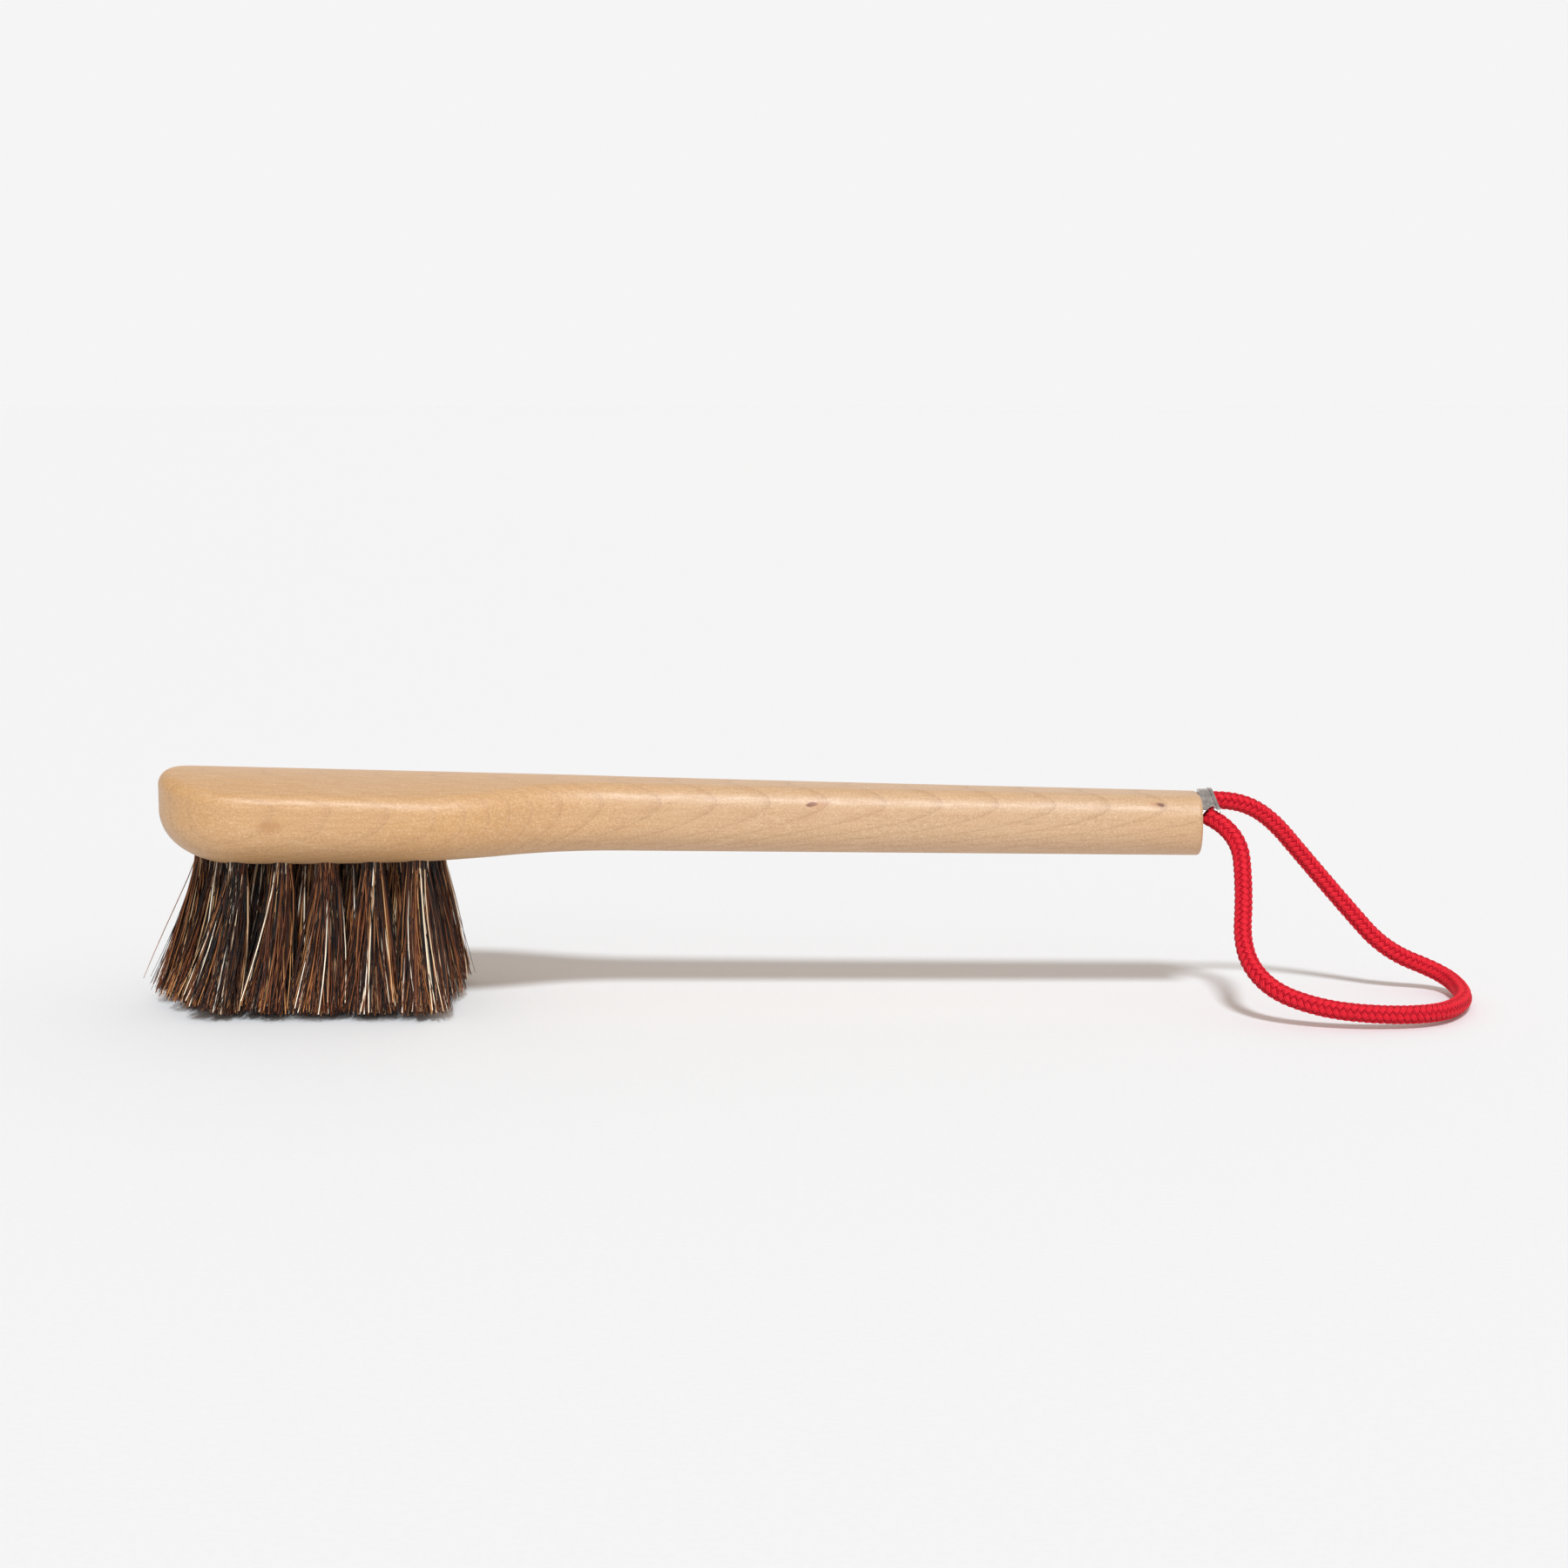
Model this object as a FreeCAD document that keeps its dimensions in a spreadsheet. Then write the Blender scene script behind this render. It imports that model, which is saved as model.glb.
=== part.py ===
import FreeCAD, Part
import math
import os
import Sketcher

# Clothes brush: one wooden block (oval head and slender handle), drilled and filled with
# horsehair tufts, with a red cord loop held in a small pressed cup on the end of the handle.
# Millimetres.  +X runs from the nose of the head to the end of the handle, +Z is up, and
# Z = 0 is the plane of the hair tips, which the brush stands on.  The origin lies below the
# middle of the brush's length.

Vector = FreeCAD.Vector
Rotation = FreeCAD.Rotation
Placement = FreeCAD.Placement

DIMENSIONS = {
    # wooden block, seen from above
    "nose_x": -116.0,
    "tail_x": 114.1,
    "head_half_width": 22.0,
    "shoulder_x": -59.5,
    "neck_x": -13.5,
    "neck_half_width": 9.8,
    "tail_half_width": 8.6,
    # wooden block, seen from the side
    "crest_at_nose": 52.4,
    "crest_at_tail": 46.8,
    "crown_radius": 75.0,
    "lift_x": -97.5,
    "lift_radius": 34.0,
    "belly_x": -83.5,
    "belly_height": 33.0,
    "neck_height": 34.4,
    "tail_height": 33.1,
    "blank_height": 60.0,
    # rounding of the long edges
    "head_top_round": 3.0,
    "handle_top_round": 5.0,
    "head_belly_round": 9.0,
    "handle_belly_round": 6.5,
    "tail_round": 0.8,
    # tufts of hair and the holes they sit in
    "tuft_first_x": -106.5,
    "tuft_last_x": -57.5,
    "tuft_row_gap": 7.0,
    "hole_radius": 2.5,
    "hole_top": 44.0,
    "tuft_clearance": 0.05,
    "collar_height": 32.4,
    "waist_height": 15.0,
    "tip_first_x": -113.0,
    "tip_last_x": -56.0,
    "tip_row_gap": 10.2,
    "tip_half_length": 5.55,
    "tip_half_width": 4.9,
    # wire anchor across each hole
    "anchor_length": 4.7,
    "anchor_width": 1.6,
    "anchor_thickness": 0.4,
    "anchor_height": 41.5,
    # cord
    "cord_radius": 2.0,
    # pressed cup that holds both ends of the cord
    "cup_wall": 0.4,
    "cup_depth": 5.2,
    "cup_clearance": 0.2,
    "strand_gap": 4.5,
    "cup_tilt": 40.5,
    "cup_centre_z": 43.4,
    "notch_radius": 2.9,
    "notch_splay": 1.6,
    "mouth_depth": 3.7,
    "mouth_lean": 12.0,
    "rim_width": 0.6,
    "rim_wall": 0.25,
    # nail that fixes the cup to the end grain
    "nail_head_radius": 1.1,
    "nail_head_height": 0.6,
    "nail_radius": 0.6,
    "nail_length": 14.0,
    "nail_hole_clearance": 0.05,
}

# Route of the cord's centre line, from the lower strand in the cup, down to the surface,
# round the end of the loop and back up to the upper strand in the cup.
CORD_ROUTE = [
    (115.7, -1.7, 41.9),
    (122.5, -4.4, 38.9),
    (122.9, -11.5, 27.0),
    (121.2, -19.5, 14.8),
    (126.0, -26.3, 7.8),
    (136.5, -30.4, 4.4),
    (149.0, -31.6, 3.2),
    (162.0, -28.8, 2.9),
    (170.0, -16.5, 2.4),
    (174.0, -1.0, 2.02),
    (171.8, 11.0, 4.0),
    (158.6, 11.0, 9.2),
    (149.4, 10.8, 19.4),
    (139.8, 9.2, 30.4),
    (130.2, 5.0, 41.4),
    (121.5, 2.3, 45.2),
    (115.7, 1.7, 44.8),
]

ARC_SHARE = 0.45        # share of each leg of the cord's route that a bend may take up
TOUCH = 1e-6            # points nearer than this are the same point
EDGE_TOLERANCE = 0.01   # slack for telling where an edge lies
CUT_OVERHANG = 10.0     # how far the underside cut runs past the block
CROWN_OVERHANG = 40.0   # how far the crown cylinder runs past the block
WHOLE_SHARE = 0.8       # a blank heavier than this share of the pad was not cut
SHELF = 0.5             # how far the pilot hole starts outside the end face

# Rows of tufts: number of the row, column of its first tuft, and how many tufts it has.
TUFT_ROWS = ((-2, 1.0, 5), (-1, 0.5, 5), (0, 0.0, 6), (1, 0.5, 5), (2, 1.0, 5))
TUFT_COLUMNS = 6

doc = FreeCAD.newDocument("clothes_brush")
sheet = doc.addObject("Spreadsheet::Sheet", "dims")
for row, (alias, value) in enumerate(DIMENSIONS.items(), start=1):
    sheet.set("A%d" % row, alias)
    sheet.set("B%d" % row, str(value))
    sheet.setAlias("B%d" % row, alias)
doc.recompute()


def dim(alias):
    """The value of one driving dimension."""
    return float(sheet.get(alias))


def origin_plane(body, role):
    """One of the body's own origin planes, found by its role."""
    for feature in body.Origin.OriginFeatures:
        if feature.Role == role:
            return feature
    raise ValueError(role)


def add_sketch(body, role, name):
    """A sketch on one of the body's origin planes."""
    sketch = body.newObject("Sketcher::SketchObject", name)
    sketch.AttachmentSupport = [(origin_plane(body, role), "")]
    sketch.MapMode = "FlatFace"
    return sketch


def pin_point(sketch, geometry, position, across, up):
    """Hold one end of a sketch line at two expressions of the sheet."""
    for kind, expression in (("DistanceX", across), ("DistanceY", up)):
        point = sketch.getPoint(geometry, position)
        value = point.x if kind == "DistanceX" else point.y
        number = sketch.addConstraint(
            Sketcher.Constraint(kind, -1, 1, geometry, position, value))
        sketch.setExpression("Constraints[%d]" % number, expression)


def s_curve(start, stop):
    """Two equal arcs that lead level from one point to another."""
    middle = (start + stop) * 0.5
    run = stop.x - start.x
    rise = stop.y - start.y
    radius = (run * run + rise * rise) / (4.0 * abs(rise))
    side = math.copysign(radius, rise)
    centres = (start + Vector(0, side, 0), stop - Vector(0, side, 0))
    arcs = []
    for centre, first, last in ((centres[0], start, middle), (centres[1], middle, stop)):
        outward = (first - centre) + (last - centre)
        outward.normalize()
        arcs.append(Part.Arc(first, centre + outward * radius, last))
    return arcs


def join_ends(sketch, smooth):
    """Join all ends that meet: tangent between the smooth pieces, plain elsewhere."""
    ends = []
    for number in range(sketch.GeometryCount):
        for position in (1, 2):
            ends.append((number, position, sketch.getPoint(number, position)))
    for index, (first, first_end, first_point) in enumerate(ends):
        for second, second_end, second_point in ends[index + 1:]:
            if first == second or first_point.distanceToPoint(second_point) > TOUCH:
                continue
            kind = "Tangent" if first in smooth and second in smooth else "Coincident"
            sketch.addConstraint(
                Sketcher.Constraint(kind, first, first_end, second, second_end))


def make_plan_sketch(body):
    """Outline of the block from above: round nose, straight head, S-shaped neck, handle."""
    sketch = add_sketch(body, "XY_Plane", "plan")
    width = dim("head_half_width")
    tail_width = dim("tail_half_width")
    centre = Vector(dim("nose_x") + width, 0, 0)
    for side in (1, -1):
        head = Vector(centre.x, side * width, 0)
        shoulder = Vector(dim("shoulder_x"), side * width, 0)
        neck = Vector(dim("neck_x"), side * dim("neck_half_width"), 0)
        tail = Vector(dim("tail_x"), side * tail_width, 0)
        sketch.addGeometry(Part.LineSegment(head, shoulder), False)
        for arc in s_curve(shoulder, neck):
            sketch.addGeometry(arc, False)
        sketch.addGeometry(Part.LineSegment(neck, tail), False)
    nose_circle = Part.Circle(centre, Vector(0, 0, 1), width)
    sketch.addGeometry(Part.ArcOfCircle(nose_circle, 0.5 * math.pi, 1.5 * math.pi), False)
    sketch.addGeometry(Part.LineSegment(tail, Vector(tail.x, -tail.y, 0)), False)
    join_ends(sketch, smooth=(0, 1, 2, 3, 4, 5, 6, 7))
    for first, sign in ((0, ""), (4, "-")):
        pin_point(sketch, first, 1, "dims.nose_x + dims.head_half_width",
                  sign + "dims.head_half_width")
        pin_point(sketch, first, 2, "dims.shoulder_x", sign + "dims.head_half_width")
        sketch.addConstraint(Sketcher.Constraint("Equal", first + 1, first + 2))
        pin_point(sketch, first + 3, 1, "dims.neck_x", sign + "dims.neck_half_width")
        pin_point(sketch, first + 3, 2, "dims.tail_x", sign + "dims.tail_half_width")
    return sketch


def make_underside_sketch(body):
    """Area below the block, seen from the side: lifted nose, level belly, neck, handle."""
    sketch = add_sketch(body, "XZ_Plane", "underside")
    overhang = CUT_OVERHANG
    slope = (dim("tail_height") - dim("neck_height")) / (dim("tail_x") - dim("neck_x"))
    radius = dim("lift_radius")
    lift = Vector(dim("lift_x"), dim("belly_height"), 0)
    middle = lift + Vector(0, radius, 0)
    reach = lift.x - dim("nose_x") + overhang
    start = math.pi + math.acos(reach / radius)
    front = middle + Vector(-reach, -math.sqrt(radius * radius - reach * reach), 0)
    belly = Vector(dim("belly_x"), dim("belly_height"), 0)
    neck = Vector(dim("neck_x"), dim("neck_height"), 0)
    back = Vector(dim("tail_x") + overhang, dim("tail_height") + slope * overhang, 0)
    front_floor = Vector(front.x, -overhang, 0)
    back_floor = Vector(back.x, -overhang, 0)
    nose_circle = Part.Circle(middle, Vector(0, 0, 1), radius)
    sketch.addGeometry(Part.ArcOfCircle(nose_circle, start, 1.5 * math.pi), False)
    sketch.addGeometry(Part.LineSegment(lift, belly), False)
    for arc in s_curve(belly, neck):
        sketch.addGeometry(arc, False)
    sketch.addGeometry(Part.LineSegment(neck, back), False)
    sketch.addGeometry(Part.LineSegment(back, back_floor), False)
    sketch.addGeometry(Part.LineSegment(back_floor, front_floor), False)
    sketch.addGeometry(Part.LineSegment(front_floor, front), False)
    join_ends(sketch, smooth=(0, 1, 2, 3, 4))
    sketch.addConstraint(Sketcher.Constraint("Vertical", 7))
    number = sketch.addConstraint(Sketcher.Constraint("Radius", 0, radius))
    sketch.setExpression("Constraints[%d]" % number, "dims.lift_radius")
    pin_point(sketch, 1, 1, "dims.lift_x", "dims.belly_height")
    pin_point(sketch, 1, 2, "dims.belly_x", "dims.belly_height")
    sketch.addConstraint(Sketcher.Constraint("Equal", 2, 3))
    pin_point(sketch, 4, 1, "dims.neck_x", "dims.neck_height")
    pin_point(sketch, 4, 2, "dims.tail_x + %g" % overhang, "dims.tail_height")
    pin_point(sketch, 6, 1, "dims.tail_x + %g" % overhang, "-%g" % overhang)
    pin_point(sketch, 6, 2, "dims.nose_x - %g" % overhang, "-%g" % overhang)
    return sketch


def make_blank():
    """The sawn block before rounding: plan outline, underside cut away."""
    body = doc.addObject("PartDesign::Body", "blank")
    pad = body.newObject("PartDesign::Pad", "blank_pad")
    pad.Profile = make_plan_sketch(body)
    pad.setExpression("Length", "dims.blank_height")
    doc.recompute()
    whole = body.Shape.Volume
    pocket = body.newObject("PartDesign::Pocket", "underside_cut")
    pocket.Profile = make_underside_sketch(body)
    pocket.Midplane = True
    pocket.setExpression("Length", "dims.head_half_width * 4")
    body.Tip = pocket
    doc.recompute()
    if body.Shape.Volume > WHOLE_SHARE * whole:
        raise RuntimeError("the underside is not cut")
    return body


def crown_cylinder():
    """Very large cylinder whose skin is the gently domed back of the brush."""
    cylinder = doc.addObject("Part::Cylinder", "crown")
    cylinder.setExpression("Radius", "dims.crown_radius")
    length = dim("tail_x") - dim("nose_x")
    fall = dim("crest_at_nose") - dim("crest_at_tail")
    cylinder.Height = length + 2.0 * CROWN_OVERHANG
    along = Vector(length, 0, -fall)
    along.normalize()
    crest = Vector(dim("nose_x"), 0, dim("crest_at_nose"))
    inward = Vector(-along.z, 0, along.x) * -dim("crown_radius")
    seam_below = Rotation(Vector(0, 0, 1), 180)
    cylinder.Placement = Placement(crest - along * CROWN_OVERHANG + inward,
                                   Rotation(Vector(0, 0, 1), along).multiply(seam_below))
    return cylinder


def edge_radius(x, level):
    """Radius of the "top" or "belly" long edges: it eases from head to handle at the neck."""
    start = dim("shoulder_x")
    share = min(1.0, max(0.0, (x - start) / (dim("neck_x") - start)))
    blend = share * share * (3.0 - 2.0 * share)
    head = dim("head_%s_round" % level)
    return head + (dim("handle_%s_round" % level) - head) * blend


def long_edge_radii(shape):
    """Fillet radii for the long edges of the blank: number, radius at start and at end."""
    radii = []
    for number, edge in enumerate(shape.Edges, start=1):
        first = edge.valueAt(edge.FirstParameter)
        last = edge.valueAt(edge.LastParameter)
        middle = edge.valueAt(0.5 * (edge.FirstParameter + edge.LastParameter))
        crosswise = (abs(first.x - last.x) < EDGE_TOLERANCE
                     and abs(middle.x - first.x) < EDGE_TOLERANCE)
        crest_seam = abs(middle.y) < EDGE_TOLERANCE and abs(first.y) < EDGE_TOLERANCE
        if crosswise or crest_seam:
            continue
        upper = middle.z > 0.5 * (dim("belly_height") + dim("crest_at_nose"))
        level = "top" if upper else "belly"
        radii.append((number, edge_radius(first.x, level), edge_radius(last.x, level)))
    return radii


def tail_edge_radii(shape):
    """Fillet radii for the rim of the handle's end face."""
    radii = []
    for number, edge in enumerate(shape.Edges, start=1):
        box = edge.BoundBox
        if box.XMin > dim("tail_x") - EDGE_TOLERANCE and not edge.isClosed():
            radii.append((number, dim("tail_round"), dim("tail_round")))
    return radii


def tuft_grid():
    """Root and tip positions of all tufts: five staggered rows along the head."""
    places = []
    root_pitch = (dim("tuft_last_x") - dim("tuft_first_x")) / (TUFT_COLUMNS - 1)
    tip_pitch = (dim("tip_last_x") - dim("tip_first_x")) / (TUFT_COLUMNS - 1)
    for row_number, first, count in TUFT_ROWS:
        for step in range(count):
            column = first + step
            root = Vector(dim("tuft_first_x") + root_pitch * column,
                          row_number * dim("tuft_row_gap"), 0)
            tip = Vector(dim("tip_first_x") + tip_pitch * column,
                         row_number * dim("tip_row_gap"), 0)
            places.append((root, tip))
    return places


def drill_set(places):
    """All the drills at once: one cylinder per tuft and the nail's pilot hole."""
    drills = []
    for number, (root, tip) in enumerate(places, start=1):
        drill = doc.addObject("Part::Cylinder", "drill_%02d" % number)
        drill.setExpression("Radius", "dims.hole_radius")
        drill.setExpression("Height", "dims.hole_top")
        drill.Placement.Base = root
        drills.append(drill)
    pilot = doc.addObject("Part::Cylinder", "pilot_hole")
    pilot.setExpression("Radius", "dims.nail_radius + dims.nail_hole_clearance")
    pilot.setExpression("Height", "dims.nail_length + %g" % (2.0 * SHELF))
    pilot.Placement = Placement(Vector(dim("tail_x") + SHELF, 0, dim("cup_centre_z")),
                                Rotation(Vector(0, 0, 1), Vector(-1, 0, 0)))
    drills.append(pilot)
    fused = doc.addObject("Part::MultiFuse", "drills")
    fused.Shapes = drills
    return fused


def make_block(places):
    """The finished wooden block."""
    solids = [make_blank(), crown_cylinder()]
    common = doc.addObject("Part::MultiCommon", "crowned_blank")
    common.Shapes = solids
    doc.recompute()
    rounded = doc.addObject("Part::Fillet", "long_edges_rounded")
    rounded.Base = common
    rounded.Edges = long_edge_radii(common.Shape)
    doc.recompute()
    softened = doc.addObject("Part::Fillet", "tail_rim_rounded")
    softened.Base = rounded
    softened.Edges = tail_edge_radii(rounded.Shape)
    doc.recompute()
    block = doc.addObject("Part::Cut", "block")
    block.Base = softened
    block.Tool = drill_set(places)
    block.Label = "wooden_block"
    return block


def tuft_section(name, centre, height, half_length, half_width):
    """One level outline of a tuft; the sizes are expressions of the sheet."""
    outline = doc.addObject("Part::Ellipse", name)
    outline.setExpression("MajorRadius", half_length)
    outline.setExpression("MinorRadius", half_width)
    outline.Placement.Base = Vector(centre.x, centre.y, height)
    return outline


def make_tuft(number, root, tip):
    """A tuft of hair: straight in its hole, splayed below it, slotted for its anchor."""
    name = "tuft_%02d" % number
    bundle = "dims.hole_radius - dims.tuft_clearance"
    collar = dim("collar_height")
    waist = dim("waist_height")
    share = 1.0 - waist / collar
    middle = root + (tip - root) * share
    waist_length = "(%s) * %g + dims.tip_half_length * %g" % (bundle, 1 - share, share)
    waist_width = "(%s) * %g + dims.tip_half_width * %g" % (bundle, 1 - share, share)
    sections = [
        tuft_section(name + "_tip", tip, 0.0, "dims.tip_half_length",
                     "dims.tip_half_width"),
        tuft_section(name + "_waist", middle, waist, waist_length, waist_width),
        tuft_section(name + "_collar", root, collar, bundle, bundle),
        tuft_section(name + "_fold", root, dim("hole_top") - dim("tuft_clearance"),
                     bundle, bundle),
    ]
    loft = doc.addObject("Part::Loft", name + "_bundle")
    loft.Sections = sections
    loft.Solid = True
    loft.Ruled = True
    slot = doc.addObject("Part::Box", name + "_slot")
    slot.setExpression("Length", "dims.anchor_thickness + 2 * dims.tuft_clearance")
    slot.setExpression("Width", "dims.hole_radius * 3")
    slot.setExpression("Height", "dims.anchor_width + 2 * dims.tuft_clearance")
    slot.Placement.Base = Vector(
        root.x - 0.5 * dim("anchor_thickness") - dim("tuft_clearance"),
        root.y - 1.5 * dim("hole_radius"),
        dim("anchor_height") - dim("tuft_clearance"))
    tuft = doc.addObject("Part::Cut", name + "_cut")
    tuft.Base = loft
    tuft.Tool = slot
    tuft.Label = name
    return tuft


def make_anchors(places):
    """The flat wire anchors, one across each hole, as a group of separate solids."""
    anchors = []
    for number, (root, tip) in enumerate(places, start=1):
        anchor = doc.addObject("Part::Box", "anchor_%02d" % number)
        anchor.setExpression("Length", "dims.anchor_thickness")
        anchor.setExpression("Width", "dims.anchor_length")
        anchor.setExpression("Height", "dims.anchor_width")
        anchor.Placement.Base = Vector(root.x - 0.5 * dim("anchor_thickness"),
                                       root.y - 0.5 * dim("anchor_length"),
                                       dim("anchor_height"))
        anchors.append(anchor)
    group = doc.addObject("Part::Compound", "anchors")
    group.Links = anchors
    group.Label = "tuft_anchors"
    return group


def cup_placement():
    """The cup's own frame: X out of the handle, Y across both strands."""
    return Placement(Vector(dim("tail_x"), 0, dim("cup_centre_z")),
                     Rotation(Vector(1, 0, 0), dim("cup_tilt")))


def stadium(name, radius, start, depth):
    """A rounded bar round both strands, lying along X in the cup's own frame."""
    pieces = []
    for side, end_name in ((-1, "near"), (1, "far")):
        end = doc.addObject("Part::Cylinder", name + "_" + end_name)
        end.setExpression("Radius", radius)
        end.setExpression("Height", depth)
        end.Placement = Placement(Vector(start, side * 0.5 * dim("strand_gap"), 0),
                                  Rotation(Vector(0, 0, 1), Vector(1, 0, 0)))
        pieces.append(end)
    web = doc.addObject("Part::Box", name + "_web")
    web.setExpression("Length", depth)
    web.setExpression("Width", "dims.strand_gap")
    web.setExpression("Height", "2 * (%s)" % radius)
    doc.recompute()
    web.Placement.Base = Vector(start, -0.5 * dim("strand_gap"), -0.5 * web.Height.Value)
    pieces.append(web)
    fused = doc.addObject("Part::MultiFuse", name)
    fused.Shapes = pieces
    return fused


def rolled_rim():
    """Folded edge of the mouth: a slightly larger ring just behind the mouth's plane."""
    ring = stadium("cup_ring",
                   "dims.cord_radius + dims.cup_clearance + dims.cup_wall + dims.rim_wall",
                   0.0, "dims.cup_depth")
    rim = doc.addObject("Part::MultiCommon", "cup_rim")
    rim.Shapes = [ring, mouth_box("cup_rim_slab", -dim("rim_width"), dim("rim_width"))]
    return rim


def mouth_box(name, start, thickness):
    """Slab across the cup, parallel to its leaning mouth, from a distance past the mouth."""
    span = 4.0 * dim("strand_gap")
    box = doc.addObject("Part::Box", name)
    box.Length = thickness
    box.Width = span
    box.Height = span
    lean = Rotation(Vector(0, 0, 1), dim("mouth_lean"))
    corner = lean.multVec(Vector(start, -0.5 * span, -0.5 * span))
    box.Placement = Placement(Vector(dim("mouth_depth"), 0, 0) + corner, lean)
    return box


def make_cup():
    """Pressed cup: base on the end grain, wall round both strands, cut back for one."""
    wall = dim("cup_wall")
    outside = stadium("cup_outside", "dims.cord_radius + dims.cup_clearance + dims.cup_wall", 0.0,
                      "dims.cup_depth")
    inside = stadium("cup_inside", "dims.cord_radius + dims.cup_clearance", wall,
                     "2 * dims.cup_depth")
    frame = cup_placement()
    start = Vector(*CORD_ROUTE[0])
    strand = frame.Rotation.inverted().multVec(Vector(*CORD_ROUTE[1]) - start)
    sideways = dim("notch_splay")
    notch = doc.addObject("Part::Cylinder", "cup_notch")
    notch.setExpression("Radius", "dims.notch_radius")
    notch.setExpression("Height", "2 * dims.cup_depth")
    notch.Placement = Placement(
        frame.inverse().multVec(start),
        Rotation(Vector(0, 0, 1), Vector(strand.x, sideways * strand.y, sideways * strand.z)))
    hole = doc.addObject("Part::Cylinder", "cup_nail_hole")
    hole.setExpression("Radius", "dims.nail_radius + dims.nail_hole_clearance")
    hole.setExpression("Height", "4 * dims.cup_wall")
    hole.Placement = Placement(Vector(-wall, 0, 0), Rotation(Vector(0, 0, 1), Vector(1, 0, 0)))
    body = doc.addObject("Part::MultiFuse", "cup_body")
    body.Shapes = [outside, rolled_rim()]
    removed = doc.addObject("Part::MultiFuse", "cup_removed")
    removed.Shapes = [inside, notch, mouth_box("cup_mouth", 0.0, 2.0 * dim("cup_depth")), hole]
    cup = doc.addObject("Part::Cut", "cup")
    cup.Base = body
    cup.Tool = removed
    cup.Label = "cord_cup"
    cup.Placement = frame
    return cup


def make_nail():
    """Round-headed nail through the cup's base into the end grain."""
    base = Vector(dim("tail_x") + dim("cup_wall"), 0, dim("cup_centre_z"))
    head = doc.addObject("Part::Cylinder", "nail_head")
    head.setExpression("Radius", "dims.nail_head_radius")
    head.setExpression("Height", "dims.nail_head_height")
    head.Placement = Placement(base, Rotation(Vector(0, 0, 1), Vector(1, 0, 0)))
    shank = doc.addObject("Part::Cylinder", "nail_shank")
    shank.setExpression("Radius", "dims.nail_radius")
    shank.setExpression("Height", "dims.nail_length")
    shank.Placement = Placement(base, Rotation(Vector(0, 0, 1), Vector(-1, 0, 0)))
    nail = doc.addObject("Part::MultiFuse", "nail")
    nail.Shapes = [head, shank]
    nail.Label = "cup_nail"
    return nail


def cord_path():
    """The cord's centre line: straight runs joined by tangent arcs."""
    points = [Vector(*point) for point in CORD_ROUTE]
    edges = []
    cursor = points[0]
    tightest = None
    for before, corner, after in zip(points, points[1:], points[2:]):
        into = corner - before
        out = after - corner
        turn = into.getAngle(out)
        radius = ARC_SHARE * min(into.Length, out.Length) / math.tan(0.5 * turn)
        reach = radius * math.tan(0.5 * turn)
        into.normalize()
        out.normalize()
        start = corner - into * reach
        stop = corner + out * reach
        inward = out - into
        inward.normalize()
        centre = corner + inward * (radius / math.cos(0.5 * turn))
        middle = centre - inward * radius
        edges.append(Part.LineSegment(cursor, start).toShape())
        edges.append(Part.Arc(start, middle, stop).toShape())
        cursor = stop
        tightest = radius if tightest is None else min(tightest, radius)
        print("cord turn %5.1f deg, radius %6.1f mm" % (math.degrees(turn), radius))
    edges.append(Part.LineSegment(cursor, points[-1]).toShape())
    print("tightest cord radius %.1f mm" % tightest)
    return Part.Wire(edges)


def make_cord():
    """The cord loop as a plain round tube along its centre line."""
    path = cord_path()
    radius = dim("cord_radius")
    direction = Vector(*CORD_ROUTE[1]) - Vector(*CORD_ROUTE[0])
    circle = Part.Circle(Vector(*CORD_ROUTE[0]), direction, radius)
    profile = Part.Wire([circle.toShape()])
    tube = path.makePipeShell([profile], True, False)
    expected = math.pi * radius * radius * path.Length
    print("cord length %.1f mm, volume %.1f, section times length %.1f"
          % (path.Length, tube.Volume, expected))
    cord = doc.addObject("Part::Feature", "cord")
    cord.Shape = tube
    cord.Placement = Placement()
    cord.Label = "cord_loop"
    return cord


def check_document(nodes):
    """Stop if a feature has failed or a sub-part is empty or broken."""
    for item in doc.Objects:
        if "Invalid" in item.State or "Error" in item.State:
            raise RuntimeError("%s failed: %s" % (item.Name, item.State))
    for node in nodes:
        if node.Shape.isNull() or not node.Shape.isValid():
            raise RuntimeError("%s has no valid shape" % node.Label)


def export_nodes(nodes):
    """Write each sub-part to its own file."""
    os.makedirs("parts", exist_ok=True)
    for node in nodes:
        node.Shape.exportStep("parts/%s.step" % node.Label)
        box = node.Shape.BoundBox
        print("%-14s %2d solids %9.1f mm3  x %.1f..%.1f y %.1f..%.1f z %.1f..%.1f"
              % (node.Label, len(node.Shape.Solids), node.Shape.Volume,
                 box.XMin, box.XMax, box.YMin, box.YMax, box.ZMin, box.ZMax))


places = tuft_grid()
nodes = [make_block(places)]
for number, (root, tip) in enumerate(places, start=1):
    nodes.append(make_tuft(number, root, tip))
nodes += [make_anchors(places), make_cup(), make_nail(), make_cord()]
doc.recompute()
check_document(nodes)
export_nodes(nodes)
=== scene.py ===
# %% [markdown]
# # A clothes brush with a hanging cord
#
# The brush is a turned and sanded wooden block, six columns of horsehair tufts stapled into
# blind holes in its head, and a loop of braided cord whose two ends are gripped by a pressed
# nickel cup nailed to the end of the handle. The solid model already holds the wood, the cup
# and the nail at their true size. This lesson gives them their finishes, and makes the two
# things that a solid model only blocks out: the braid of the cord and the hairs of the tufts.

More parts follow.
